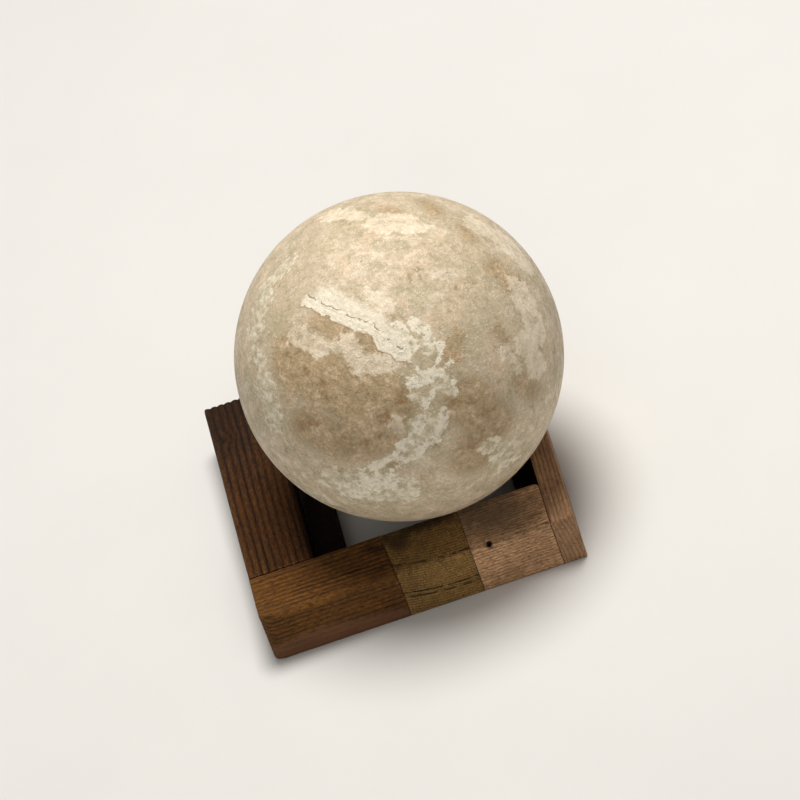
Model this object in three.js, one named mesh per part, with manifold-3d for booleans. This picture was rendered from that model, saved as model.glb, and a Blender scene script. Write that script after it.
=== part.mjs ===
// A decorative stone ball on a low, nearly square stand of reclaimed softwood.
//
// Millimetres, +Z up. X runs from left to right and Y from front to back. The pieces are laid
// out about the middle of the stand, and the whole is then moved so that the origin is the
// bottom centre of the object's box.

import * as THREE from 'three';
import { mergeVertices } from 'three/addons/utils/BufferGeometryUtils.js';
import Module from 'manifold-3d';

const wasm = await Module();
wasm.setup();

// Ball
const ballRadius = 75;
const ballMeridians = 64;
const ballParallels = 32;

// Stand, outside
const standWidth = 150;
const standDepth = 149;
const standHeight = 27.5;

// Rails, across their tops
const leftRailWidth = 31;
const rightRailWidth = 11;
const frontRailDepth = 29;
const backRailDepth = 38;

// Battens inside the two sides, lower than the rails
const battenHeight = 12;
const leftBattenWidth = 14.2;
const rightBattenWidth = 11.2;
const battenEdgeRadius = 1.2;

// Edges
const fitGap = 0.3;
const footBevel = 0.8;
const crispRadius = 1;
const restingRadius = 1.5;
const handledRadius = 2;
const wornRadius = 3.5;
const wornCornerRadius = 5;
const arcSteps = 6;

// Raised grain: steps drawn across each rib, and how deep the soft wood between the ribs has worn
const ribSteps = 6;
const leftRibs = { ribs: 8, ribDepth: 0.45 };
const frontRibs = { ribs: 7, ribDepth: 0.2 };
const rightRibs = { ribs: 3, ribDepth: 0.2 };

// The front rail is glued up from three blocks. Each joint crosses it slightly askew.
const firstJoint = { atWell: -12, atFront: -9.5 };
const secondJoint = { atWell: 25, atFront: 25.8 };

// Damage on the front rail, measured from its front
const crack = { from: -33, to: -24.5, setback: 11.7, width: 0.8, depth: 2.5 };
const nailHole = { x: 34.7, setback: 1.8, mouthRadius: 1.4, endRadius: 0.4, depth: 4 };

// Sides of the stand and of its well
const left = -standWidth / 2;
const right = standWidth / 2;
const front = -standDepth / 2;
const back = standDepth / 2;
const wellLeft = left + leftRailWidth;
const wellRight = right - rightRailWidth;
const wellFront = front + frontRailDepth;
const wellBack = back - backRailDepth;

// The ball rests on the rounded inner edges of the front, back and right rails, which all lie
// the same level distance from its centre line
const ballReach = (wellBack - wellFront) / 2;
const ballX = wellRight - ballReach;
const ballY = (wellFront + wellBack) / 2;
const restReach = ballReach + restingRadius;
const restDistance = ballRadius + fitGap + restingRadius;
const ballZ = standHeight - restingRadius + Math.sqrt(restDistance ** 2 - restReach ** 2);

// Middle of the object's box, as the pieces are laid out
const boxMiddleX = (left + ballX + ballRadius) / 2;
const boxMiddleY = (ballY - ballRadius + back) / 2;

// Directions that a section's width, its height and its length take
const xAxis = new THREE.Vector3(1, 0, 0);
const yAxis = new THREE.Vector3(0, 1, 0);
const zAxis = new THREE.Vector3(0, 0, 1);
const towardsFront = [xAxis, zAxis, yAxis.clone().negate()];
const towardsRight = [yAxis, zAxis, xAxis];

const stone = new THREE.MeshStandardMaterial({ color: 0xd3c3a8, roughness: 0.55, metalness: 0 });
const darkTimber = new THREE.MeshStandardMaterial({ color: 0x4a331f, roughness: 0.8, metalness: 0 });
const brownTimber = new THREE.MeshStandardMaterial({ color: 0x5c4328, roughness: 0.8, metalness: 0 });
const paleTimber = new THREE.MeshStandardMaterial({ color: 0x77583c, roughness: 0.75, metalness: 0 });

function solidFrom(geometry) {
  const bare = geometry.clone();
  bare.deleteAttribute('normal');
  bare.deleteAttribute('uv');
  const merged = mergeVertices(bare, 1e-4);
  const vertProperties = new Float32Array(merged.attributes.position.array);
  const triVerts = new Uint32Array(merged.index.array);
  return new wasm.Manifold(new wasm.Mesh({ numProp: 3, vertProperties, triVerts }));
}

function geometryFrom(solid) {
  const { vertProperties, triVerts } = solid.getMesh();
  const geometry = new THREE.BufferGeometry();
  geometry.setAttribute('position', new THREE.BufferAttribute(vertProperties, 3));
  geometry.setIndex(new THREE.BufferAttribute(triVerts, 1));
  geometry.computeVertexNormals();
  return geometry;
}

function piece(name, geometry, material) {
  const mesh = new THREE.Mesh(geometry, material);
  mesh.name = name;
  return mesh;
}

// A timber's section, from 0 to width across and with its foot at height 0. nearRadius rounds
// the top edge at 0 and farRadius the other. Ribs of raised grain run between the two.
function section({ width, height = standHeight, nearRadius, farRadius, ribs = 0, ribDepth = 0 }) {
  const shape = new THREE.Shape();
  shape.moveTo(footBevel, 0);
  shape.lineTo(width - footBevel, 0);
  shape.lineTo(width, footBevel);
  shape.absarc(width - farRadius, height - farRadius, farRadius, 0, Math.PI / 2, false);
  const ribbedWidth = width - farRadius - nearRadius;
  const steps = ribs * ribSteps;
  for (let step = 1; step < steps; step += 1) {
    const across = width - farRadius - (ribbedWidth * step) / steps;
    const wear = (1 - Math.cos((2 * Math.PI * step) / ribSteps)) / 2;
    shape.lineTo(across, height - ribDepth * wear);
  }
  shape.absarc(nearRadius, height - nearRadius, nearRadius, Math.PI / 2, Math.PI, false);
  shape.lineTo(0, footBevel);
  shape.closePath();
  return shape;
}

// The section run out over a length, in the given directions, from its starting corner
function timber(shape, length, directions, corner) {
  const geometry = new THREE.ExtrudeGeometry(shape, {
    depth: length,
    bevelEnabled: false,
    curveSegments: arcSteps,
  });
  geometry.applyMatrix4(new THREE.Matrix4().makeBasis(...directions));
  return geometry.translate(...corner);
}

// An upright prism over an outline seen from above
function prism(outline, low, high) {
  const geometry = new THREE.ExtrudeGeometry(outline, {
    depth: high - low,
    bevelEnabled: false,
    curveSegments: arcSteps,
  });
  return geometry.translate(0, 0, low);
}

// A block of the front rail between two joints, seen from above. frontRadius rounds its front
// left corner and wellRadius its right corner at the well.
function blockOutline({ leftEnd, rightEnd, frontRadius = 0, wellRadius = 0 }) {
  const outline = new THREE.Shape();
  outline.moveTo(leftEnd.atFront + frontRadius, front);
  outline.lineTo(rightEnd.atFront, front);
  if (wellRadius > 0) {
    const turn = [rightEnd.atWell - wellRadius, wellFront - wellRadius];
    outline.absarc(...turn, wellRadius, 0, Math.PI / 2, false);
  } else {
    outline.lineTo(rightEnd.atWell, wellFront);
  }
  outline.lineTo(leftEnd.atWell, wellFront);
  if (frontRadius > 0) {
    const turn = [leftEnd.atFront + frontRadius, front + frontRadius];
    outline.absarc(...turn, frontRadius, Math.PI, 1.5 * Math.PI, false);
  }
  outline.closePath();
  return outline;
}

function shifted(joint, distance) {
  return { atWell: joint.atWell + distance, atFront: joint.atFront + distance };
}

// One block of the front rail, with what has been knocked or split out of it taken away
function frontBlock(name, outlineSizes, ribbing, material, damage = []) {
  const sizes = { width: frontRailDepth, nearRadius: wornRadius, farRadius: restingRadius };
  const run = timber(section({ ...sizes, ...ribbing }), standWidth, towardsRight, [left, front, 0]);
  const outline = prism(blockOutline(outlineSizes), -1, standHeight + 1);
  let solid = solidFrom(run).intersect(solidFrom(outline));
  for (const cutter of damage) {
    solid = solid.subtract(solidFrom(cutter));
  }
  return piece(name, geometryFrom(solid), material);
}

// A drying crack: long, narrow and pointed at both ends
function crackCutter() {
  const y = front + crack.setback;
  const outline = new THREE.Shape();
  outline.moveTo(crack.from, y);
  outline.lineTo((crack.from + crack.to) / 2, y - crack.width / 2);
  outline.lineTo(crack.to, y);
  outline.lineTo((crack.from + crack.to) / 2, y + crack.width / 2);
  outline.closePath();
  return prism(outline, standHeight - crack.depth, standHeight + 1);
}

function nailHoleCutter() {
  const { mouthRadius, endRadius, depth } = nailHole;
  const cone = new THREE.CylinderGeometry(mouthRadius, endRadius, depth, arcSteps * 2);
  cone.rotateX(Math.PI / 2);
  return cone.translate(nailHole.x, front + nailHole.setback, standHeight - depth / 2 + 0.5);
}

function ball() {
  const geometry = new THREE.SphereGeometry(ballRadius, ballMeridians, ballParallels);
  geometry.rotateX(Math.PI / 2);
  const mesh = piece('stone_ball', geometry, stone);
  mesh.position.set(ballX, ballY, ballZ);
  return mesh;
}

function frontRail() {
  const leftEnd = { atWell: left, atFront: left };
  const rightEnd = { atWell: wellRight - fitGap, atFront: wellRight - fitGap };
  const halfGap = fitGap / 2;
  const outlines = {
    left: { leftEnd, rightEnd: shifted(firstJoint, -halfGap), frontRadius: wornCornerRadius },
    middle: { leftEnd: shifted(firstJoint, halfGap), rightEnd: shifted(secondJoint, -halfGap) },
    right: { leftEnd: shifted(secondJoint, halfGap), rightEnd, wellRadius: wornRadius },
  };
  return [
    frontBlock('front_block_left', outlines.left, frontRibs, brownTimber, [crackCutter()]),
    frontBlock('front_block_middle', outlines.middle, {}, brownTimber),
    frontBlock('front_block_right', outlines.right, frontRibs, paleTimber, [nailHoleCutter()]),
  ];
}

function leftRail() {
  const sizes = { width: leftRailWidth, nearRadius: handledRadius, farRadius: wornRadius };
  const length = back - wellFront - fitGap;
  const geometry = timber(section({ ...sizes, ...leftRibs }), length, towardsFront, [left, back, 0]);
  return piece('left_rail', geometry, darkTimber);
}

function rightRail() {
  const sizes = { width: rightRailWidth, nearRadius: restingRadius, farRadius: crispRadius };
  const corner = [wellRight, back, 0];
  const geometry = timber(section({ ...sizes, ...rightRibs }), standDepth, towardsFront, corner);
  return piece('right_rail', geometry, paleTimber);
}

function backRail() {
  const sizes = { width: backRailDepth, nearRadius: restingRadius, farRadius: handledRadius };
  const length = wellRight - wellLeft - 2 * fitGap;
  const corner = [wellLeft + fitGap, wellBack, 0];
  return piece('back_rail', timber(section(sizes), length, towardsRight, corner), darkTimber);
}

function batten(name, width, leftSide) {
  const radii = { nearRadius: battenEdgeRadius, farRadius: battenEdgeRadius };
  const shape = section({ width, height: battenHeight, ...radii });
  const length = wellBack - wellFront - 2 * fitGap;
  return piece(name, timber(shape, length, towardsFront, [leftSide, wellBack - fitGap, 0]), darkTimber);
}

const object = new THREE.Group();
object.add(ball());
object.add(...frontRail());
object.add(leftRail());
object.add(rightRail());
object.add(backRail());
object.add(batten('left_batten', leftBattenWidth, wellLeft + fitGap));
object.add(batten('right_batten', rightBattenWidth, wellRight - fitGap - rightBattenWidth));
object.position.set(-boxMiddleX, -boxMiddleY, 0);

export default object;
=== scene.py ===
"""A stone ball resting on a low frame stand of reclaimed softwood.

Laid out as a Blender add-on and run as a script. Sizes are written in millimetres, times MM.
"""

import math

import bmesh
import bpy
from mathutils import Matrix, Vector, noise


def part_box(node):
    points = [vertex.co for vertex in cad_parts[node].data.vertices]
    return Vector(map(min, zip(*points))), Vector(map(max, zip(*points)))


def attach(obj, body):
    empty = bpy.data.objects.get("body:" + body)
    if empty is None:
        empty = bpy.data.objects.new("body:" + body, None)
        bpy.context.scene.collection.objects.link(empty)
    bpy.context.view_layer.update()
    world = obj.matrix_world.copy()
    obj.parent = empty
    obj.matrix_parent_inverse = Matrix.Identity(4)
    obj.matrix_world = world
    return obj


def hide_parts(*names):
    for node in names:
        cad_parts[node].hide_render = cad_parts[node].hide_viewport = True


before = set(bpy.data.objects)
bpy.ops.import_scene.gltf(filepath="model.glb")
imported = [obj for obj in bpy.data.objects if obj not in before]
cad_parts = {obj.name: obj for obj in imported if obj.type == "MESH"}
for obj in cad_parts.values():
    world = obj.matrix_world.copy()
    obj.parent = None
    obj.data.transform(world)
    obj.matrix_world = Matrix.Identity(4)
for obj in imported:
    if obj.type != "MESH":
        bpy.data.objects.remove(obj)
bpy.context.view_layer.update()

bl_info = {
    "name": "Stone Ball on a Reclaimed Timber Stand",
    "version": (1, 0, 0),
    "blender": (4, 5, 0),
    "location": "View3D > Sidebar > Stone Ball",
    "description": "Builds a veined stone ball, its stand of worn softwood and a plain stage",
    "category": "Add Mesh",
}

MM = 0.001
BALL_LOW, BALL_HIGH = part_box("stone_ball")
AXES = {"X": 0, "Y": 1, "Z": 2}
UNDERSIDE_RADIUS = 0.8 * MM
LIT_POINT = Vector((0, 0, 0.06))


def tone(code):
    """A colour picked on screen, such as "c8b496", as the linear values that shaders use."""
    parts = [int(code[i : i + 2], 16) / 255 for i in (0, 2, 4)]
    return tuple(p / 12.92 if p <= 0.04045 else ((p + 0.055) / 1.055) ** 2.4 for p in parts)


def colour_property(name, description, code):
    return bpy.props.FloatVectorProperty(
        name=name,
        description=description,
        subtype="COLOR",
        size=3,
        min=0,
        max=1,
        default=tone(code),
    )


def angle_property(name, description, degrees):
    return bpy.props.FloatProperty(
        name=name, description=description, default=math.radians(degrees), subtype="ANGLE"
    )


def length_property(name, description, millimetres):
    return bpy.props.FloatProperty(
        name=name, description=description, default=millimetres * MM, unit="LENGTH", precision=4
    )


# ---------------------------------------------------------------- settings


class StoneBallSettings(bpy.types.PropertyGroup):
    """Sizes and colours of the stone ball."""

    fineness: bpy.props.IntProperty(
        name="Fineness", description="Times the ball's faces are divided", default=7, min=4, max=7
    )
    unevenness: length_property("Unevenness", "How far the ball is ground out of round", 0.25)
    sand: colour_property("Sand", "Main body of the stone", "c2b094")
    sand_pale: colour_property("Pale sand", "Paler swirls in the body", "d0c0a7")
    rose: colour_property("Rose", "Pinker, tanned places in the body", "cdb596")
    olive: colour_property("Olive", "Greyer, greener clouds in the body", "b0a384")
    umber: colour_property("Umber", "Brown mottling", "9f8765")
    umber_mid: colour_property("Mid umber", "Between the umber and its paler lumps", "ad9672")
    umber_pale: colour_property("Pale umber", "Paler lumps in the brown mottling", "b89f7b")
    cream: colour_property("Cream", "Warm cream patches", "e4d3b8")
    chalk: colour_property("Chalk", "White veins and wisps", "e7ddc7")
    ash: colour_property("Ash", "Grey-white clouds", "cfc4a9")
    ash_dark: colour_property("Shaded ash", "Grey lines drawn along the main vein", "b6a98d")
    rust: colour_property("Rust", "Darker, redder spots in the brown mottling", "957247")
    fissure: colour_property("Fissure", "Fine open cracks and pores", "7d6c52")


class TimberSettings(bpy.types.PropertyGroup):
    """Sizes and colours of the stand's timbers."""

    hollow: length_property("Hollow", "Depth worn out of the soft wood between growth rings", 0.3)
    side_light: colour_property("Side, soft wood", "Soft wood of the side timbers", "553414")
    side_dark: colour_property("Side, growth line", "Growth lines of the side timbers", "160701")
    front_light: colour_property("Front, soft wood", "Soft wood of the front rail", "66421b")
    middle_light: colour_property("Middle, soft wood", "Soft wood of the middle block", "8a6a3c")
    right_light: colour_property("Right, soft wood", "Soft wood of the right block", "bd946e")
    front_dark: colour_property("Front, growth line", "Growth lines of the front rail", "261103")
    right_dark: colour_property("Right, growth line", "Growth lines of the right block", "6b4c30")
    pale_light: colour_property("Planed, soft wood", "Soft wood of the planed side", "ab8661")
    pale_dark: colour_property("Planed, growth line", "Growth lines of the planed side", "725138")
    # Also painted shade: the left rail's inner face and far end are darkened towards this colour,
    # and the battens' dark lines take it
    grime_and_shade: colour_property("Grime", "Dark stain and ingrained dirt", "17100c")
    bare: colour_property("Bare wood", "Raised splinters and rubbed edges", "a98563")
    skin: colour_property("Skin", "Smooth stained face where no fibres are torn", "6b4a35")
    silver: colour_property("Silvered wood", "Greyed, weathered surface", "5d5242")


class StageSettings(bpy.types.PropertyGroup):
    """The camera, floor and lights."""

    azimuth: angle_property("Azimuth", "Turn of the camera round the stand", 2.7)
    elevation: angle_property("Elevation", "Height of the camera above the floor", 42.0)
    roll: angle_property("Roll", "Lean of the camera", -20.5)
    distance: length_property("Distance", "From the camera to what it looks at", 3750)
    lens: bpy.props.FloatProperty(
        name="Lens", description="Focal length in millimetres", default=366.2, min=1
    )
    target: bpy.props.FloatVectorProperty(
        name="Target",
        description="Point the camera looks at",
        subtype="TRANSLATION",
        unit="LENGTH",
        size=3,
        default=(3.6 * MM, 28.1 * MM, 37.5 * MM),
    )
    floor: colour_property("Floor", "Plain pale floor", "d9d7d3")


def display_axes():
    """The camera's right, up and backward directions."""
    stage = bpy.context.scene.ball_stage
    a, e, roll = stage.azimuth, stage.elevation, stage.roll
    toward = Vector((math.sin(a) * math.cos(e), -math.cos(a) * math.cos(e), math.sin(e)))
    level = Vector((math.cos(a), math.sin(a), 0))
    rise = toward.cross(level)
    right = level * math.cos(roll) + rise * math.sin(roll)
    up = rise * math.cos(roll) - level * math.sin(roll)
    return right, up, toward


# ---------------------------------------------------------------- node helpers


class Finish:
    """A material in the making, with short ways to add its nodes."""

    def __init__(self, name):
        self.material = bpy.data.materials.new(name)
        self.material.use_nodes = True
        self.tree = self.material.node_tree
        self.tree.nodes.clear()
        self.shader = self.node("ShaderNodeBsdfPrincipled")
        output = self.node("ShaderNodeOutputMaterial")
        self.join(self.shader.outputs["BSDF"], output.inputs["Surface"])
        self.place = self.node("ShaderNodeTexCoord").outputs["Object"]

    def node(self, kind, **settings):
        made = self.tree.nodes.new(kind)
        for key, value in settings.items():
            setattr(made, key, value)
        return made

    def join(self, source, target):
        self.tree.links.new(source, target)

    def feed(self, socket, value):
        """Sets a socket to a number or colour, or links it to another node's output."""
        if isinstance(value, bpy.types.NodeSocket):
            self.join(value, socket)
        elif hasattr(value, "__len__") and len(value) == 3 and socket.type == "RGBA":
            socket.default_value = (*value, 1)
        else:
            socket.default_value = value

    def math(self, operation, a, b=0.0):
        made = self.node("ShaderNodeMath", operation=operation)
        self.feed(made.inputs[0], a)
        self.feed(made.inputs[1], b)
        return made.outputs[0]

    def plus(self, a, b):
        return self.math("ADD", a, b)

    def minus(self, a, b):
        return self.math("SUBTRACT", a, b)

    def times(self, a, *factors):
        for factor in factors:
            a = self.math("MULTIPLY", a, factor)
        return a

    def larger(self, a, b):
        return self.math("MAXIMUM", a, b)

    def size_of(self, a):
        return self.math("ABSOLUTE", a)

    def attribute(self, name):
        return self.node("ShaderNodeAttribute", attribute_name=name).outputs["Fac"]

    def mapped(self, scale):
        made = self.node("ShaderNodeMapping")
        self.join(self.place, made.inputs["Vector"])
        made.inputs["Scale"].default_value = scale
        return made.outputs["Vector"]

    def noise(self, grain, detail=3.0, rough=0.5, warp=0.0, vector=None):
        """Noise whose lumps are about grain metres across."""
        made = self.node("ShaderNodeTexNoise")
        self.join(vector or self.place, made.inputs["Vector"])
        made.inputs["Scale"].default_value = 1 / grain
        made.inputs["Detail"].default_value = detail
        made.inputs["Roughness"].default_value = rough
        made.inputs["Distortion"].default_value = warp
        return made.outputs["Fac"]

    def cells(self, grain, feature="F1", vector=None):
        made = self.node("ShaderNodeTexVoronoi", feature=feature)
        self.join(vector or self.place, made.inputs["Vector"])
        made.inputs["Scale"].default_value = 1 / grain
        return made.outputs["Distance"]

    def bent(self, grain, push):
        """Object coordinates pushed about by noise, so that cells lose their straight sides."""
        made = self.node("ShaderNodeTexNoise")
        self.join(self.place, made.inputs["Vector"])
        made.inputs["Scale"].default_value = 1 / grain
        made.inputs["Detail"].default_value = 4
        centred = self.node("ShaderNodeVectorMath", operation="SUBTRACT")
        self.join(made.outputs["Color"], centred.inputs[0])
        centred.inputs[1].default_value = (0.5, 0.5, 0.5)
        pushed = self.node("ShaderNodeVectorMath", operation="SCALE")
        self.join(centred.outputs[0], pushed.inputs[0])
        pushed.inputs["Scale"].default_value = push
        added = self.node("ShaderNodeVectorMath", operation="ADD")
        self.join(self.place, added.inputs[0])
        self.join(pushed.outputs[0], added.inputs[1])
        return added.outputs[0]

    def combined(self, x, y):
        made = self.node("ShaderNodeCombineXYZ")
        self.feed(made.inputs["X"], x)
        self.feed(made.inputs["Y"], y)
        return made.outputs[0]

    def band(self, value, low, high, out_low=0.0, out_high=1.0):
        """Value from low to high, smoothly made out_low to out_high."""
        made = self.node("ShaderNodeMapRange", interpolation_type="SMOOTHSTEP")
        self.feed(made.inputs["Value"], value)
        made.inputs["From Min"].default_value = low
        made.inputs["From Max"].default_value = high
        made.inputs["To Min"].default_value = out_low
        made.inputs["To Max"].default_value = out_high
        return made.outputs["Result"]

    def mix(self, amount, a, b):
        made = self.node("ShaderNodeMix", data_type="RGBA")
        self.feed(made.inputs[0], amount)
        self.feed(made.inputs[6], a)
        self.feed(made.inputs[7], b)
        return made.outputs[2]

    def ramp(self, value, stops):
        """A colour scale through (place, colour) stops."""
        made = self.node("ShaderNodeValToRGB")
        self.feed(made.inputs["Fac"], value)
        points = made.color_ramp.elements
        while len(points) < len(stops):
            points.new(0.5)
        for point, (place, colour) in zip(points, stops):
            point.position = place
            point.color = (*colour, 1)
        return made.outputs["Color"]

    def profile(self, value, stops):
        """A curve through (place, grey) stops."""
        return self.ramp(value, [(place, (grey, grey, grey)) for place, grey in stops])

    def brighten(self, colour, factor):
        """Colour times a varying number."""
        made = self.node("ShaderNodeVectorMath", operation="SCALE")
        self.feed(made.inputs[0], colour)
        self.feed(made.inputs["Scale"], factor)
        return made.outputs[0]

    def bump(self, height, depth):
        made = self.node("ShaderNodeBump")
        made.inputs["Distance"].default_value = depth
        made.inputs["Strength"].default_value = 1.0
        self.feed(made.inputs["Height"], height)
        return made.outputs["Normal"]

    def finish(self, colour, roughness, normal):
        self.feed(self.shader.inputs["Base Color"], colour)
        self.feed(self.shader.inputs["Roughness"], roughness)
        self.feed(self.shader.inputs["Normal"], normal)
        return self.material


# ---------------------------------------------------------------- mesh helpers


def add_piece(name, bm, material, node):
    """Makes the finished mesh an object that rides with the stand and stands for a CAD node."""
    mesh = bpy.data.meshes.new(name)
    for face in bm.faces:
        face.smooth = True
    bm.to_mesh(mesh)
    bm.free()
    mesh.materials.append(material)
    piece = bpy.data.objects.new(name, mesh)
    bpy.context.scene.collection.objects.link(piece)
    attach(piece, "root")
    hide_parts(node)
    return piece


def layer(bm, name):
    return bm.verts.layers.float.get(name) or bm.verts.layers.float.new(name)


def nearest_on(path, point):
    """How far point lies from a path of 3-D points, and the path's direction there."""
    best = None
    for start, end in zip(path, path[1:]):
        run = end - start
        t = max(0.0, min(1.0, (point - start).dot(run) / run.length_squared))
        away = point - start - run * t
        if best is None or away.length < best[0].length:
            best = (away, run)
    return best


# ---------------------------------------------------------------- stone ball

# Marks on the ball, in millimetres across and up from the middle of its display side. Each is a
# path and the half width of the mark along it.
CREAM_MARKS = [
    ([(-30, 64), (-18, 63)], 5),
    ([(-9, 60), (6, 59)], 7),
    ([(35, 59), (48, 52), (57, 42)], 8),
    ([(55, 28), (62, 12)], 8),
    ([(57, 4), (62, -4)], 7),
    ([(48, 2), (54, -6)], 3),
    ([(-46, 9), (-38, 6)], 5),
    ([(-33, 3), (-28, 4)], 3),
    ([(-22, 5), (-18, -4)], 5),
    ([(-12, -4), (-4, -3)], 4),
    ([(-14, 27), (-4, 21)], 3),
    ([(-3, -30), (1, -33)], 3),
]
CHALK_MARKS = [
    ([(-1, 12), (5, 4)], 4),
    ([(6, 15), (9, 12)], 2.6),
    ([(12, 11), (14, 6)], 2.0),
    ([(18.5, 5), (17, -2)], 1.6),
    ([(23, -3), (21, -5)], 1.3),
    ([(5, -13), (10, -9.5), (17, -8)], 3.0),
    ([(24, -11), (26, -15)], 1.4),
    ([(15, -17), (12, -22)], 1.9),
    ([(22, -20), (19, -26)], 1.5),
    ([(20, -29), (17, -38)], 2.2),
    ([(10, -28), (6, -35), (0, -43), (-7, -48), (-16, -52)], 2.2),
    ([(14, -38), (5, -45), (-4, -51)], 1.8),
    ([(-6, -56), (-22, -61)], 6),
]
ASH_MARKS = [
    ([(-50, 42), (-57, 34)], 4),
    ([(-60, 28), (-65, 12)], 7.5),
    ([(-65, 4), (-62, -4)], 4),
    ([(-61, -12), (-58, -22), (-56, -28)], 6.5),
    ([(-44, -60), (-34, -65)], 5),
    ([(42, -40), (51, -48)], 5),
    ([(8, 8), (14, 2)], 2.4),
    ([(8, -11), (20, -10), (24, -14)], 4.0),
    ([(5, -18), (9, -20), (14, -24)], 2.6),
    ([(8, -30), (17, -32), (10, -38), (2, -45)], 4.6),
    ([(-26, -57), (-14, -60), (0, -60)], 10),
]
UMBER_MARKS = [
    ([(-46, -2), (-34, -10), (-20, -18), (-6, -22)], 15),
    ([(-40, -32), (-24, -38), (-10, -36)], 11),
    ([(-36, 14), (-20, 8), (-6, 2)], 5),
    ([(-7, 66), (-1, 65)], 2.5),
    ([(11, 70), (17, 65)], 4),
    ([(29, 58), (32, 53)], 3.6),
    ([(43, 40), (49, 33)], 6),
    ([(54, 35), (56, 31)], 3),
    ([(44, 12), (47, 8)], 3.4),
    ([(53, -11), (61, -16)], 5),
    ([(33, -26), (34, -32)], 4),
    ([(-51, -17), (-51, -19)], 2),
    ([(26, 8), (22, -2)], 4),
    ([(30, -20), (42, -30), (34, -44)], 12),
]
OLIVE_MARKS = [
    ([(-44, 52), (-46, 30)], 10),
    ([(-56, 18), (-50, 4)], 6),
    ([(38, 20), (30, 4)], 8),
    ([(10, 0), (8, -6)], 4),
    ([(-2, -20), (4, -26)], 6),
]
# The main vein is split by an open fissure: a lumpy band lies below it and a smooth one above
VEIN_BELOW = [(-42, 25), (-34, 21), (-26, 17), (-20, 14), (-13, 12), (-9, 7), (-2, 2), (4, 0)]
VEIN_ABOVE = [(-36, 29), (-24, 24), (-16, 20), (-8, 15), (-2, 8), (3, 3)]


def on_ball(marks, centre, radius):
    """Points given in millimetres across and up the display side, out on the ball's surface."""
    right, up, toward = display_axes()
    points = []
    for across, rise in marks:
        x, y = across * MM / radius, rise * MM / radius
        depth = math.sqrt(max(0.0, 1 - x * x - y * y))
        points.append(centre + (right * x + up * y + toward * depth) * radius)
    return points


def paint_marks(bm, name, marks, centre, radius):
    """A vertex layer of millimetres inside the edge of the nearest mark, negative outside it."""
    field = layer(bm, name)
    paths = [(on_ball(points, centre, radius), width) for points, width in marks]
    for vert in bm.verts:
        value = -50.0
        for path, width in paths:
            away, _ = nearest_on(path, vert.co)
            value = max(value, width - away.length / MM)
        vert[field] = value


def paint_line(bm, name, marks, centre, radius):
    """Two layers in millimetres: how far above a line each place is, and how far from its ends."""
    side_layer, run_layer = layer(bm, name + "_side"), layer(bm, name + "_run")
    path = on_ball(marks, centre, radius)
    pieces = list(zip(path, path[1:]))
    total = sum((end - start).length for start, end in pieces)
    for vert in bm.verts:
        best, passed = None, 0.0
        for index, (start, end) in enumerate(pieces):
            run = end - start
            share = (vert.co - start).dot(run) / run.length_squared
            held = max(0.0, min(1.0, share))
            away = vert.co - start - run * held
            if best is None or away.length < best[0]:
                if (index == 0 and share < 0) or (index == len(pieces) - 1 and share > 1):
                    held = share
                above = run.cross(vert.co - centre).dot(away) < 0
                best = (away.length, above, passed + held * run.length)
            passed += run.length
        vert[side_layer] = best[0] / MM * (1 if best[1] else -1)
        vert[run_layer] = min(best[2], total - best[2]) / MM


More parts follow.
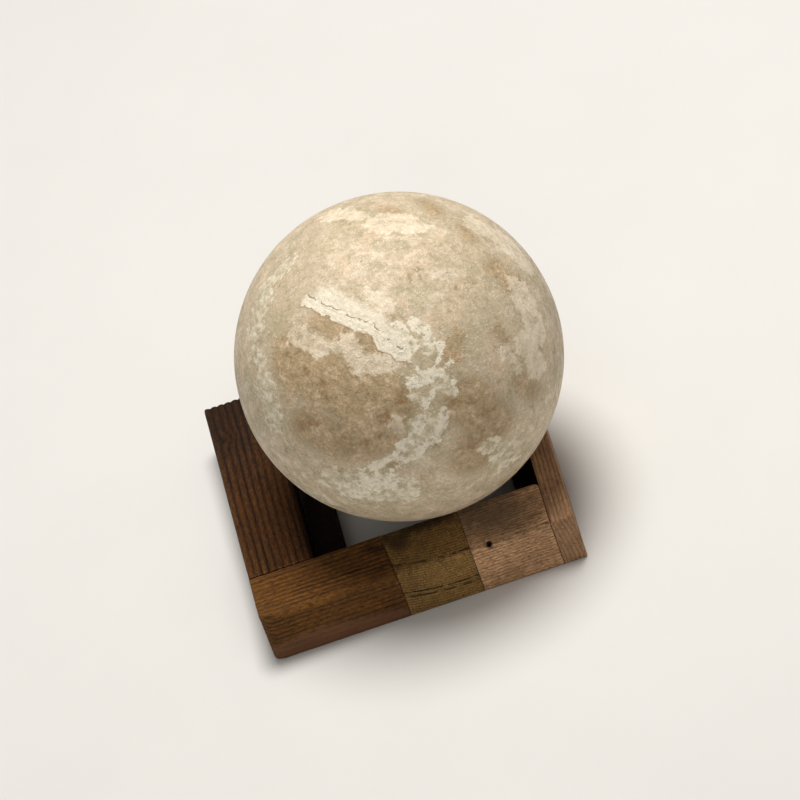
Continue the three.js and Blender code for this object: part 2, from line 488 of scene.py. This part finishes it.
def stone_finish():
    s = bpy.context.scene.stone_ball
    f = Finish("honed_stone")
    bent = f.bent(7 * MM, 5 * MM)
    clouds = f.noise(26 * MM, 4, 0.6)
    patches = f.noise(8 * MM, 4, 0.55, vector=bent)
    lumps = f.noise(3.6 * MM, 4, 0.6, vector=bent)
    knobs = f.noise(1.7 * MM, 4, 0.65)
    grain = f.noise(0.7 * MM, 3, 0.7)
    tint = f.noise(13 * MM, 6, 0.65)

    uneven = f.times(f.minus(patches, 0.5), 7.0)
    uneven = f.plus(uneven, f.times(f.minus(lumps, 0.5), 6.0))
    uneven = f.plus(uneven, f.times(f.minus(knobs, 0.5), 2.5))

    def reach(name, raggedness, softness):
        """1 inside the painted marks and 0 outside, over an edge made uneven in millimetres."""
        value = f.plus(f.attribute(name), f.times(uneven, raggedness))
        return f.band(value, -softness, softness)

    umber = reach("umber", 2.4, 3.4)
    ash = reach("ash", 1.8, 0.8)
    cream = reach("cream", 1.3, 1.0)
    chalk = reach("chalk", 1.0, 0.4)

    # One value runs from dark to pale lumps; calm ground spreads it less than the brown areas
    tone_value = f.times(patches, 0.45)
    tone_value = f.plus(tone_value, f.times(lumps, 0.4))
    tone_value = f.plus(tone_value, f.times(knobs, 0.15))
    calm = f.ramp(
        tone_value, [(0.40, s.olive), (0.5, s.sand), (0.56, s.sand_pale), (0.68, s.cream)]
    )
    rosy = f.ramp(tone_value, [(0.38, s.umber), (0.45, s.sand), (0.54, s.rose), (0.66, s.cream)])
    umbers = [(0.45, s.umber), (0.50, s.umber_mid), (0.55, s.umber_pale)]
    busy = f.ramp(tone_value, [(0.40, s.rust), *umbers, (0.62, s.rose)])
    colour = f.mix(f.band(tint, 0.44, 0.62, 0, 0.8), calm, rosy)
    greener = f.larger(f.band(clouds, 0.5, 0.36, 0, 0.5), f.times(reach("olive", 3.0, 4.0), 0.7))
    colour = f.mix(greener, colour, f.ramp(tone_value, [(0.42, s.olive), (0.6, s.sand)]))
    colour = f.mix(f.times(umber, 0.85), colour, busy)

    # Thin seams around the lumps of the brown areas
    plates = f.cells(3.4 * MM, "DISTANCE_TO_EDGE", vector=bent)
    seam = f.times(f.band(plates, 0.1, 0.0), f.band(patches, 0.42, 0.56))
    colour = f.mix(f.times(seam, f.band(umber, 0, 1, 0.0, 0.4)), colour, s.rust)

    ash_tone = f.ramp(lumps, [(0.38, s.ash_dark), (0.5, s.ash), (0.64, s.chalk)])
    colour = f.mix(f.times(ash, f.band(lumps, 0.3, 0.55, 0.35, 0.8)), colour, ash_tone)
    cream_tone = f.ramp(lumps, [(0.36, s.sand_pale), (0.5, s.cream), (0.7, s.chalk)])
    colour = f.mix(f.times(cream, f.band(patches, 0.35, 0.55, 0.4, 0.75)), colour, cream_tone)
    chalk_tone = f.ramp(lumps, [(0.34, s.ash_dark), (0.42, s.ash), (0.52, s.chalk)])
    colour = f.mix(f.times(chalk, 0.92), colour, chalk_tone)

    # The main vein
    wobble = f.times(f.minus(f.noise(5 * MM, 2, 0.5), 0.5), 6.5)
    wobble = f.plus(wobble, f.times(f.minus(knobs, 0.5), 0.9))
    below, above = f.attribute("below_side"), f.attribute("above_side")
    below_runs = f.band(f.plus(f.attribute("below_run"), wobble), -2.5, -0.5)
    above_runs = f.band(f.plus(f.attribute("above_run"), wobble), -2.5, 0.5)
    from_edge = f.plus(below, wobble)
    lower_edge = f.band(from_edge, -3.1, -2.1)
    low_band = f.times(lower_edge, f.band(from_edge, 3.0, 2.2), below_runs)
    lifted = f.plus(above, f.times(wobble, 0.7))
    high_band = f.times(lower_edge, f.band(lifted, 4.5, 0.8), above_runs)
    colour = f.mix(f.times(high_band, 0.85), colour, s.chalk)
    colour = f.mix(f.times(low_band, 0.95), colour, s.chalk)

    # Grey flow lines along the vein, the fissure, and its shaded lower edge
    flow_place = f.combined(
        f.times(f.plus(below, f.times(wobble, 0.8)), MM),
        f.times(f.attribute("below_run"), 0.1 * MM),
    )
    flow = f.band(f.noise(1.1 * MM, 4, 0.65, vector=flow_place), 0.52, 0.36, 0.0, 0.5)
    colour = f.mix(f.times(flow, f.larger(low_band, high_band)), colour, s.ash_dark)
    split = f.size_of(f.minus(from_edge, 2.7))
    open_here = f.band(f.noise(5 * MM, 3, 0.6), 0.44, 0.56)
    crack = f.times(f.band(split, 0.45, 0.1), f.times(open_here, below_runs))
    colour = f.mix(f.times(crack, 0.6), colour, s.fissure)
    brink = f.times(f.band(from_edge, -4.0, -2.9), f.band(from_edge, -2.2, -2.8), below_runs)
    colour = f.mix(f.times(brink, 0.5), colour, s.rust)

    # Fine grain, pale crystals and dark pores
    in_vein = f.larger(low_band, f.times(high_band, 0.6))
    colour = f.brighten(colour, f.band(knobs, 0.3, 0.7, 0.9, 1.08))
    colour = f.brighten(colour, f.band(grain, 0.25, 0.75, 0.9, 1.1))
    clumps = f.noise(5 * MM, 3, 0.6)
    crystals = f.times(f.band(f.cells(1.3 * MM), 0.36, 0.16), f.band(clumps, 0.42, 0.56, 0.0, 0.6))
    crystals = f.times(crystals, f.band(f.larger(in_vein, umber), 0.0, 1.0, 1.0, 0.15))
    colour = f.mix(crystals, colour, s.chalk)
    pore_patches = f.larger(f.band(clumps, 0.42, 0.34, 0.0, 0.7), f.times(chalk, 0.5))
    pore_patches = f.times(pore_patches, f.band(in_vein, 0.0, 1.0, 1.0, 0.1))
    pores = f.times(f.band(f.cells(1.9 * MM, vector=bent), 0.2, 0.1), pore_patches)
    colour = f.mix(pores, colour, s.fissure)

    lumpy = f.times(lumps, f.band(umber, 0, 1, 0.9, 1.6))
    height = f.plus(lumpy, f.times(knobs, 0.6))
    height = f.plus(height, f.times(grain, 0.25))
    height = f.minus(height, f.plus(f.times(pores, 0.6), f.times(crack, 0.7)))
    height = f.plus(height, f.times(in_vein, 0.35))
    normal = f.bump(height, 0.4 * MM)
    roughness = f.band(patches, 0.3, 0.7, 0.62, 0.48)
    f.shader.inputs["Specular IOR Level"].default_value = 0.35
    return f.finish(colour, roughness, normal)


class MESH_OT_stone_ball(bpy.types.Operator):
    """Build the solid ball of honed, veined stone"""

    bl_idname = "mesh.stone_ball"
    bl_label = "Stone Ball"
    bl_options = {"REGISTER", "UNDO"}

    def execute(self, context):
        s = context.scene.stone_ball
        centre = (BALL_LOW + BALL_HIGH) / 2
        radius = (BALL_HIGH.z - BALL_LOW.z) / 2
        bm = bmesh.new()
        place = Matrix.Translation(centre)
        bmesh.ops.create_icosphere(bm, subdivisions=s.fineness, radius=radius, matrix=place)
        for vert in bm.verts:
            out = (vert.co - centre).normalized()
            broad = noise.noise(vert.co / (38 * MM))
            small = noise.noise(vert.co / (6 * MM))
            vert.co -= out * s.unevenness * (0.5 + 0.4 * broad + 0.12 * small)
        for name, marks in (
            ("cream", CREAM_MARKS),
            ("chalk", CHALK_MARKS),
            ("ash", ASH_MARKS),
            ("umber", UMBER_MARKS),
            ("olive", OLIVE_MARKS),
        ):
            paint_marks(bm, name, marks, centre, radius)
        paint_line(bm, "below", VEIN_BELOW, centre, radius)
        paint_line(bm, "above", VEIN_ABOVE, centre, radius)
        add_piece("veined_stone_ball", bm, stone_finish(), "stone_ball")
        return {"FINISHED"}


# ---------------------------------------------------------------- timbers


def cuts_between(low, high, step, near_edge):
    """Places to slice a side: even steps, and closer ones where its edges are rounded."""
    count = max(1, round((high - low) / step))
    even = [low + (high - low) * i / count for i in range(1, count)]
    close = [near_edge * share for share in (0.12, 0.3, 0.55, 1.0)]
    inside = [c for c in even if low + near_edge * 1.15 < c < high - near_edge * 1.15]
    return sorted(inside + [low + c for c in close] + [high - c for c in close])


def sliced_block(low, high, steps, near_edge, extra_cuts):
    """A block sliced along all three axes, ready to be worn into shape."""
    bm = bmesh.new()
    bmesh.ops.create_cube(bm, size=1)
    bmesh.ops.scale(bm, vec=high - low, verts=bm.verts)
    bmesh.ops.translate(bm, vec=(low + high) / 2, verts=bm.verts)
    for axis in range(3):
        across = Vector((0, 0, 0))
        across[axis] = 1
        extra = [place * MM for place in extra_cuts.get("XYZ"[axis], ())]
        for place in cuts_between(low[axis], high[axis], steps[axis], near_edge) + extra:
            spot = Vector((0, 0, 0))
            spot[axis] = place
            everything = bm.verts[:] + bm.edges[:] + bm.faces[:]
            bmesh.ops.bisect_plane(bm, geom=everything, plane_co=spot, plane_no=across, dist=1e-7)
    return bm


def rounded(outward, upward):
    """Moves a place in an edge's square, 1 being a face, on to the quarter circle inside it."""
    reach = max(outward, upward)
    length = math.hypot(outward, upward)
    return (outward * reach / length, upward * reach / length) if length else (0.0, 0.0)


def ease_edges(bm, timber):
    """Rounds a sliced block: first its upright corners, then the edges of its top and underside."""
    low, high = timber.low, timber.high
    centre = (low + high) / 2
    for vert in bm.verts:
        place = vert.co
        sign_x, sign_y = (1 if place[i] > centre[i] else -1 for i in (0, 1))
        from_x = (high.x - place.x) if sign_x > 0 else (place.x - low.x)
        from_y = (high.y - place.y) if sign_y > 0 else (place.y - low.y)
        wear = 1 + 0.22 * noise.noise(place / (8 * MM) + timber.seed)
        corner = timber.corner_radius(sign_x, sign_y) * wear
        radius_x = timber.top_radius("X", sign_x) * wear
        radius_y = timber.top_radius("Y", sign_y) * wear
        if from_x < corner and from_y < corner:
            out_x, out_y = rounded(1 - from_x / corner, 1 - from_y / corner)
            place.x += sign_x * (out_x * corner - (corner - from_x))
            place.y += sign_y * (out_y * corner - (corner - from_y))
            share = math.hypot(out_x, out_y)
            outward = Vector((sign_x * out_x, sign_y * out_y, 0)).normalized()
            inset = corner * (1 - share)
            radius = radius_x
            if share:
                radius = (radius_x * out_x**2 + radius_y * out_y**2) / share**2
        elif from_x / radius_x < from_y / radius_y:
            outward, inset, radius = Vector((sign_x, 0, 0)), from_x, radius_x
        else:
            outward, inset, radius = Vector((0, sign_y, 0)), from_y, radius_y
        upward = 1 if place.z > centre.z else -1
        depth = (high.z - place.z) if upward > 0 else (place.z - low.z)
        if upward < 0:
            radius = min(radius, UNDERSIDE_RADIUS)
        if inset < radius and depth < radius:
            out, up = rounded(1 - inset / radius, 1 - depth / radius)
            place += outward * (out * radius - (radius - inset))
            place.z += upward * (up * radius - (radius - depth))


class Timber:
    """One timber of the stand: its box, how its wood grew, and how its edges have worn.

    tops holds the radius worn on the top edge of a side, and corners that of an upright corner.
    tight holds the sides glued or fitted against a neighbour, and how far each reaches for it.
    """

    def __init__(
        self, node, along, pith, ring, steps, tops=None, corners=None, tight=None, usual=1.0,
        extra_cuts=None, wander=0.35,
    ):
        self.node, self.along = node, along
        self.low, self.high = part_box(node)
        self.pith_point, self.pith_line = pith
        self.ring = ring * MM
        self.tops, self.corners, self.tight = tops or {}, corners or {}, tight or {}
        self.usual, self.extra_cuts, self.wander = usual, extra_cuts or {}, wander
        self.steps = [step * MM for step in steps]
        self.seed = Vector((self.low.x * 77, self.low.y * 53, 3.1))
        for (axis, sign), reach in self.tight.items():
            (self.high if sign > 0 else self.low)[AXES[axis]] += sign * reach * MM

    def top_radius(self, axis, sign):
        usual = 0.2 if (axis, sign) in self.tight else self.usual
        return self.tops.get((axis, sign), usual) * MM

    def corner_radius(self, sign_x, sign_y):
        fitted = ("X", sign_x) in self.tight or ("Y", sign_y) in self.tight
        return self.corners.get((sign_x, sign_y), 0.2 if fitted else self.usual) * MM

    def rings_at(self, place):
        """How many growth rings lie between the pith and a place."""
        away = place - self.pith_point
        away -= self.pith_line * away.dot(self.pith_line)
        slow = place.copy()
        slow[AXES[self.along]] *= 0.3
        sway = noise.noise(slow / (24 * MM) + self.seed) + 0.25 * noise.noise(slow / (8 * MM))
        return away.length / self.ring + self.wander * sway

    def build(self):
        widest = max([self.usual, *self.tops.values(), *self.corners.values()]) * MM
        bm = sliced_block(self.low, self.high, self.steps, widest, self.extra_cuts)
        ease_edges(bm, self)
        return bm


def wear_surface(bm, timber, hollow, knots=(), roughness=0.08):
    """Writes each vertex's growth rings, then sinks a groove along each growth line."""
    rings = layer(bm, "rings")
    edge = layer(bm, "edge")
    bm.normal_update()
    for vert in bm.verts:
        count = timber.rings_at(vert.co)
        sink = 0.0
        for place, size in knots:
            away = (vert.co - place).length / size
            count += 0.9 * math.exp(-away * away * 0.5)
            sink += 0.5 * MM * math.exp(-(away**4) * 4)
        vert[rings] = count
        gaps = sorted(
            min(vert.co[i] - timber.low[i], timber.high[i] - vert.co[i]) for i in range(3)
        )
        vert[edge] = gaps[1] / MM
        from_line = abs((count + 0.5) % 1 - 0.5)
        worn = math.exp(-((from_line / 0.17) ** 2))
        slow = vert.co.copy()
        slow[AXES[timber.along]] *= 0.3
        rough = 0.5 + 0.5 * noise.noise(slow / (1.6 * MM))
        depth = hollow * worn + roughness * MM * rough + sink
        if vert.co.z < timber.low.z + 0.5 * MM:
            depth *= 0.2
        vert.co -= vert.normal * depth


def paint_strokes(bm, name, strokes):
    """A vertex layer that is 1 along each stroke in the wood, 0 at its edge and negative beyond."""
    field = layer(bm, name)
    paths = [([Vector(p) * MM for p in points], width * MM) for points, width in strokes]
    for vert in bm.verts:
        value = -3.0
        for path, width in paths:
            away, _ = nearest_on(path, vert.co)
            value = max(value, 1 - away.length / width)
        vert[field] = value


def wood_finish(
    name, along, light, dark, contrast, streak=0.3, end_grain=False, warmth=None, stain_and_shade_tone=None,
    stain_and_shade_depth=0.72, speckle=0.3, arcs=(),
):
    """Stained, worn softwood whose growth lines follow the rings layer.

    arcs are the ring counts at which a broken dark line follows one growth ring.
    """
    s = bpy.context.scene.stand_timbers
    f = Finish(name)
    stretch = [1.0, 1.0, 1.0]
    if not end_grain:
        stretch[AXES[along]] = 0.12
    fibre_place = f.mapped(scale=stretch)
    long_place = f.mapped(scale=[1 if v == 1 else 0.12 for v in stretch])
    short_place = f.mapped(scale=[1 if v == 1 else 0.35 for v in stretch])

    sway = f.times(f.minus(f.noise(6 * MM, 3, 0.55, vector=long_place), 0.5), 0.3)
    ragged_line = f.times(f.minus(f.noise(0.9 * MM, 3, 0.6, vector=short_place), 0.5), 0.3)
    phase = f.math("FRACT", f.plus(f.attribute("rings"), f.plus(sway, ragged_line)))
    line = f.profile(
        phase, [(0.0, 1.0), (0.12, 0.8), (0.27, 0.12), (0.6, 0.0), (0.82, 0.25), (0.96, 1.0)]
    )
    patchy = f.band(f.noise(14 * MM, 3, 0.6, vector=long_place), 0.3, 0.7, 0.5, 1.0)
    lines = f.times(f.times(line, patchy), contrast)

    fibres = f.noise(0.6 * MM, 5, 0.7, vector=fibre_place)
    torn = f.noise(0.8 * MM, 5, 0.75, vector=short_place)
    broad = f.noise(2.6 * MM, 5, 0.65, vector=fibre_place)
    clouds = f.noise(20 * MM, 5, 0.6)
    colour = f.mix(lines, light, dark)
    for at in arcs:
        away = f.size_of(f.minus(f.plus(f.attribute("rings"), ragged_line), at))
        broken = f.band(f.noise(5 * MM, 3, 0.6), 0.4, 0.52)
        colour = f.mix(f.times(f.band(away, 0.55, 0.2), f.times(broken, 0.8)), colour, s.grime_and_shade)
    if warmth:
        colour = f.mix(f.band(broad, 0.42, 0.66, 0, 0.7), colour, tone(warmth))
    colour = f.brighten(colour, f.band(fibres, 0.3, 0.7, 1 - streak, 1 + streak))
    colour = f.brighten(colour, f.band(torn, 0.34, 0.66, 1 - speckle * 1.3, 1 + speckle * 1.3))
    colour = f.brighten(colour, f.band(broad, 0.3, 0.7, 1 - streak * 0.6, 1 + streak * 0.6))
    colour = f.brighten(colour, f.band(clouds, 0.3, 0.7, 0.82, 1.15))

    # A smooth skin is left where nothing has torn the fibres
    ragged = f.times(f.minus(f.noise(3 * MM, 5, 0.7), 0.5), 1.8)
    skin = f.band(f.plus(f.attribute("skin"), f.times(ragged, 0.4)), -0.05, 0.15)
    skin_tone = f.brighten(s.skin, f.band(broad, 0.3, 0.7, 0.85, 1.15))
    colour = f.mix(f.times(skin, 0.7), colour, skin_tone)

    pits = f.band(torn, 0.40, 0.30)
    colour = f.mix(f.times(pits, 0.55), colour, s.grime_and_shade)

    # Stains soak in with ragged edges, and the same mask lays painted shade on the left rail;
    # splinters stay bare
    stain_and_shade = f.band(f.plus(f.attribute("stain_and_shade"), ragged), -0.5, 0.9)
    colour = f.mix(f.times(stain_and_shade, stain_and_shade_depth), colour, stain_and_shade_tone or s.grime_and_shade)
    bare = f.band(f.plus(f.attribute("bare"), ragged), 0.15, 0.6)
    colour = f.mix(f.times(bare, 0.75), colour, s.bare)

    rubbed = f.times(f.band(f.attribute("edge"), 1.4, 0.2), f.band(torn, 0.48, 0.66, 0.0, 0.28))
    colour = f.mix(rubbed, colour, s.bare)
    colour = f.mix(f.band(f.attribute("opened"), 0.0, 0.5), colour, s.grime_and_shade)

    height = f.minus(f.times(fibres, 0.5), f.times(lines, 0.35))
    height = f.plus(height, f.times(torn, 0.8))
    height = f.minus(height, f.times(pits, 0.4))
    height = f.times(height, f.band(skin, 0.0, 1.0, 1.0, 0.3))
    normal = f.bump(height, 0.6 * MM)
    roughness = f.band(broad, 0.3, 0.7, 0.7, 0.88)
    f.shader.inputs["Specular IOR Level"].default_value = 0.16
    return f.finish(colour, roughness, normal)


def finish_timber(name, timber, bm, material, stains_and_shade=(), bare=(), skin=(), opened=()):
    paint_strokes(bm, "stain_and_shade", stains_and_shade)
    paint_strokes(bm, "bare", bare)
    paint_strokes(bm, "skin", skin)
    paint_strokes(bm, "opened", opened)
    return add_piece(name, bm, material, timber.node)


def slant_ends(bm, timber, left_slant, right_slant):
    """Swings a front block's ends. A slant is how far further right the end lies at the front."""
    low, high = timber.low, timber.high
    for vert in bm.verts:
        forward = (high.y - vert.co.y) / (high.y - low.y)
        share = (vert.co.x - low.x) / (high.x - low.x)
        at_low = left_slant * MM * forward
        at_high = -right_slant * MM * (1 - forward)
        vert.co.x += at_low * (1 - share) + at_high * share


class MESH_OT_stand_sides(bpy.types.Operator):
    """Build the wide left rail and the narrow planed right rail"""

    bl_idname = "mesh.stand_sides"
    bl_label = "Side Rails"
    bl_options = {"REGISTER", "UNDO"}

    def execute(self, context):
        s = context.scene.stand_timbers
        along_y = Vector((0, 1, 0))
        left = Timber(
            "left_rail", "Y", (Vector((60, 0, -30)) * MM, along_y), 3.15, (0.5, 1.7, 1.1),
            tops={("X", -1): 2.0, ("X", 1): 3.5}, tight={("Y", -1): 0.24}, wander=0.28,
        )
        bm = left.build()
        knot = (Vector((-78.4, 52, 27)) * MM, 2.6 * MM)
        wear_surface(bm, left, s.hollow * 1.7, knots=[knot])
        finish = wood_finish(
            "raised_grain_side", "Y", s.side_light, s.side_dark, 1.0, warmth="46270f"
        )
        stains_and_shade = [
            ([(-79, 50, 27), (-78, 54, 27)], 1.6),
            # Painted shade: a dark band down the inner face and over its top edge, under the ball
            ([(-54.5, -44, 18), (-54.5, 75, 18)], 9),
            # Painted shade over the far end of the rail
            ([(-76, 82, 26), (-58, 82, 26)], 60),
        ]
        bare = [
            ([(-55.8, -42, 26), (-56.6, -39, 27)], 0.9),
            ([(-69, 59, 27.5), (-69, 60, 27.5)], 0.7),
        ]
        finish_timber("ribbed_left_rail", left, bm, finish, stains_and_shade, bare)

        right = Timber(
            "right_rail", "Y", (Vector((-160, 0, -10)) * MM, along_y), 1.9, (0.45, 1.8, 1.0),
            tops={("X", -1): 1.5}, usual=0.7, wander=0.3,
        )
        bm = right.build()
        wear_surface(bm, right, s.hollow * 0.35)
        finish = wood_finish(
            "planed_side", "Y", s.pale_light, s.pale_dark, 0.85, 0.16, warmth="8f6c58", speckle=0.14
        )
        finish_timber("planed_right_rail", right, bm, finish)
        return {"FINISHED"}


class MESH_OT_stand_front(bpy.types.Operator):
    """Build the three glued-up blocks of the front rail"""

    bl_idname = "mesh.stand_front"
    bl_label = "Front Blocks"
    bl_options = {"REGISTER", "UNDO"}

    def execute(self, context):
        s = context.scene.stand_timbers
        along_x = Vector((1, 0, 0))
        fine = (1.2, 0.7, 0.7)
        tops = {("Y", -1): 3.5, ("Y", 1): 1.5}

        left = Timber(
            "front_block_left", "X", (Vector((0, 20, -60)) * MM, along_x), 1.75, fine,
            tops=tops, corners={(-1, -1): 5.0}, tight={("X", 1): 0.12},
            extra_cuts={"Y": (-60.8, -60.55, -60.3, -60.05, -59.8)},
        )
        bm = left.build()
        slant_ends(bm, left, 0, 2.5)
        wear_surface(bm, left, s.hollow)
        open_crack(bm)
        finish = wood_finish("worn_front_left", "X", s.front_light, s.front_dark, 0.85)
        stains_and_shade = [
            ([(-43.5, -60.3, 26.5), (-37, -60.3, 26.5)], 1.1),
            ([(-30, -50, 27), (-25, -52, 27)], 3),
        ]
        skin = [([(-84, -80, 2), (-60, -80, 4), (-26, -80, -1)], 12)]
        opened = [([(-43.5, -60.3, 26), (-37, -60.3, 26)], 0.7)]
        finish_timber(
            "left_front_block", left, bm, finish, stains_and_shade, skin=skin, opened=opened
        )

        right_way, up_way, toward = display_axes()
        middle = Timber(
            "front_block_middle", "Y", (Vector((0, 0, 0)), toward), 1.15, fine,
            tops=tops, tight={("X", -1): 0.12, ("X", 1): 0.12},
        )
        arris = Vector(((middle.low.x + middle.high.x) / 2, middle.low.y, middle.high.z))
        middle.pith_point = arris - right_way * 30 * MM + up_way * 131 * MM
        bm = middle.build()
        slant_ends(bm, middle, 2.5, 0.8)
        wear_surface(bm, middle, s.hollow * 0.5)
        finish = wood_finish(
            "end_grain_middle", "Y", s.middle_light, s.front_dark, 0.6, end_grain=True,
            speckle=0.34, arcs=(115.4, 127.0, 128.7),
        )
        # Darker along the inner edge of the top, from the first joint to where the ball rests
        stains_and_shade = [([(-21, -46, 27), (-16, -54, 27), (-12, -46, 27), (8, -45, 27)], 5)]
        finish_timber("middle_front_block", middle, bm, finish, stains_and_shade)

        right = Timber(
            "front_block_right", "X", (Vector((0, 20, -60)) * MM, along_x), 1.1, fine,
            tops=tops, corners={(1, 1): 3.5}, tight={("X", -1): 0.12, ("X", 1): 0.24},
            extra_cuts={"X": (22.2, 22.7, 23.2, 23.7, 24.2), "Y": (-70.9, -70.2, -69.5)},
        )
        bm = right.build()
        slant_ends(bm, right, 0.8, 0)
        wear_surface(bm, right, s.hollow * 0.5)
        sink_nail_hole(bm)
        finish = wood_finish(
            "worn_front_right", "X", s.right_light, s.right_dark, 0.7, stain_and_shade_tone=s.silver,
            stain_and_shade_depth=0.6,
        )
        stains_and_shade = [([(18, -52, 29), (36, -58, 29)], 13)]
        opened = [([(23.0, -70.2, 25), (23.4, -70.2, 25)], 2.4)]
        finish_timber("right_front_block", right, bm, finish, stains_and_shade, opened=opened)
        return {"FINISHED"}


def open_crack(bm):
    """A short drying crack, pointed at both ends, in the top of the left block."""
    start, end, at, half, depth = -44.5 * MM, -36 * MM, -60.3 * MM, 0.6 * MM, 2.5 * MM
    for vert in bm.verts:
        if vert.co.z < 24 * MM or not start < vert.co.x < end:
            continue
        share = math.sin(math.pi * (vert.co.x - start) / (end - start))
        away = abs(vert.co.y - at) / (half * share + 1e-6)
        vert.co.z -= depth * share * max(0.0, 1 - away)


def sink_nail_hole(bm):
    """The hole a pulled nail has left just behind the front edge of the right block."""
    centre, radius, depth = Vector((23.2, -70.2, 27)) * MM, 1.4 * MM, 3.5 * MM
    for vert in bm.verts:
        away = (Vector((vert.co.x, vert.co.y, centre.z)) - centre).length
        if vert.co.z > 20 * MM and away < radius:
            vert.co.z -= depth * (1 - (away / radius) ** 2)


class MESH_OT_stand_hidden(bpy.types.Operator):
    """Build the back rail and the two low battens inside the sides"""

    bl_idname = "mesh.stand_hidden"
    bl_label = "Back Rail and Battens"
    bl_options = {"REGISTER", "UNDO"}

    def execute(self, context):
        s = context.scene.stand_timbers
        back = Timber(
            "back_rail", "X", (Vector((0, -20, -50)) * MM, Vector((1, 0, 0))), 2.6, (2.0, 0.8, 1.1),
            tops={("Y", -1): 1.5, ("Y", 1): 2.0}, tight={("X", -1): 0.2, ("X", 1): 0.2},
        )
        bm = back.build()
        wear_surface(bm, back, s.hollow * 0.6)
        finish = wood_finish("stained_back", "X", s.side_light, s.side_dark, 0.8)
        finish_timber("stained_back_rail", back, bm, finish)
        # Painted shade: the battens are coloured near-black, darker than the side timbers' wood,
        # for the shaded well under the ball
        finish = wood_finish("stained_and_shaded_batten", "Y", s.side_dark, s.grime_and_shade, 0.8)
        for side in ("left", "right"):
            node, name = side + "_batten", "low_" + side + "_batten"
            low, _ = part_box(node)
            batten = Timber(
                node, "Y", (Vector((low.x / MM + 30, 0, -40)) * MM, Vector((0, 1, 0))), 2.8,
                (0.8, 2.0, 1.2), usual=1.1,
            )
            bm = batten.build()
            wear_surface(bm, batten, s.hollow * 0.5)
            finish_timber(name, batten, bm, finish)
        return {"FINISHED"}


# ---------------------------------------------------------------- stage


def add_light(name, place, size, power, colour):
    data = bpy.data.lights.new(name, "AREA")
    data.shape = "DISK"
    data.size = size
    data.energy = power
    data.color = colour
    lamp = bpy.data.objects.new(name, data)
    bpy.context.scene.collection.objects.link(lamp)
    lamp.location = place
    lamp.rotation_mode = "QUATERNION"
    lamp.rotation_quaternion = (LIT_POINT - Vector(place)).to_track_quat("-Z", "Y")
    return lamp


class SCENE_OT_ball_stage(bpy.types.Operator):
    """Set up the camera, the plain pale floor and the soft lights"""

    bl_idname = "scene.ball_stage"
    bl_label = "Stage"
    bl_options = {"REGISTER", "UNDO"}

    def execute(self, context):
        stage = context.scene.ball_stage
        right, up, toward = display_axes()
        data = bpy.data.cameras.new("display_camera")
        data.lens = stage.lens
        data.sensor_width = 36
        data.clip_end = 50
        camera = bpy.data.objects.new("display_camera", data)
        context.scene.collection.objects.link(camera)
        turn = Matrix((right, up, toward)).transposed()
        place = Vector(stage.target) + toward * stage.distance
        camera.matrix_world = Matrix.Translation(place) @ turn.to_4x4()
        context.scene.camera = camera

        bm = bmesh.new()
        bmesh.ops.create_grid(bm, x_segments=8, y_segments=8, size=4)
        mesh = bpy.data.meshes.new("floor")
        bm.to_mesh(mesh)
        bm.free()
        floor = bpy.data.objects.new("floor", mesh)
        context.scene.collection.objects.link(floor)
        f = Finish("pale_floor")
        soft = f.noise(60 * MM, 3, 0.5)
        colour = f.brighten(stage.floor, f.band(soft, 0.3, 0.7, 0.985, 1.0))
        mesh.materials.append(f.finish(colour, 0.9, f.bump(soft, 0.05 * MM)))

        world = bpy.data.worlds.new("studio")
        world.use_nodes = True
        background = world.node_tree.nodes["Background"]
        background.inputs["Color"].default_value = (1.0, 0.985, 0.96, 1)
        background.inputs["Strength"].default_value = 0.3
        context.scene.world = world
        add_light("key", (0.15, 0.3, 1.5), 0.7, 24, (1.0, 0.98, 0.95))
        add_light("fill", (-0.3, -1.5, 0.9), 1.0, 3.5, (1.0, 0.98, 0.95))
        context.scene.view_settings.view_transform = "Standard"
        return {"FINISHED"}


# ---------------------------------------------------------------- add-on

STEPS = (
    ("mesh.stone_ball", "Stone Ball"),
    ("mesh.stand_sides", "Side Rails"),
    ("mesh.stand_front", "Front Blocks"),
    ("mesh.stand_hidden", "Back Rail and Battens"),
    ("scene.ball_stage", "Stage"),
)


class VIEW3D_PT_ball_stand(bpy.types.Panel):
    """Settings and steps of the ball and its stand."""

    bl_label = "Stone Ball"
    bl_space_type = "VIEW_3D"
    bl_region_type = "UI"
    bl_category = "Stone Ball"

    def draw(self, context):
        layout = self.layout
        for group in ("stone_ball", "stand_timbers", "ball_stage"):
            settings = getattr(context.scene, group)
            column = layout.box().column()
            for name in settings.bl_rna.properties.keys():
                if name not in {"rna_type", "name"}:
                    column.prop(settings, name)
        for step, label in STEPS:
            layout.operator(step, text=label)


CLASSES = (
    StoneBallSettings,
    TimberSettings,
    StageSettings,
    MESH_OT_stone_ball,
    MESH_OT_stand_sides,
    MESH_OT_stand_front,
    MESH_OT_stand_hidden,
    SCENE_OT_ball_stage,
    VIEW3D_PT_ball_stand,
)


def register():
    for cls in CLASSES:
        bpy.utils.register_class(cls)
    bpy.types.Scene.stone_ball = bpy.props.PointerProperty(type=StoneBallSettings)
    bpy.types.Scene.stand_timbers = bpy.props.PointerProperty(type=TimberSettings)
    bpy.types.Scene.ball_stage = bpy.props.PointerProperty(type=StageSettings)


def unregister():
    del bpy.types.Scene.ball_stage
    del bpy.types.Scene.stand_timbers
    del bpy.types.Scene.stone_ball
    for cls in reversed(CLASSES):
        bpy.utils.unregister_class(cls)


def main():
    register()
    bpy.ops.mesh.stone_ball()
    bpy.ops.mesh.stand_sides()
    bpy.ops.mesh.stand_front()
    bpy.ops.mesh.stand_hidden()
    bpy.ops.scene.ball_stage()


if __name__ == "__main__":
    main()
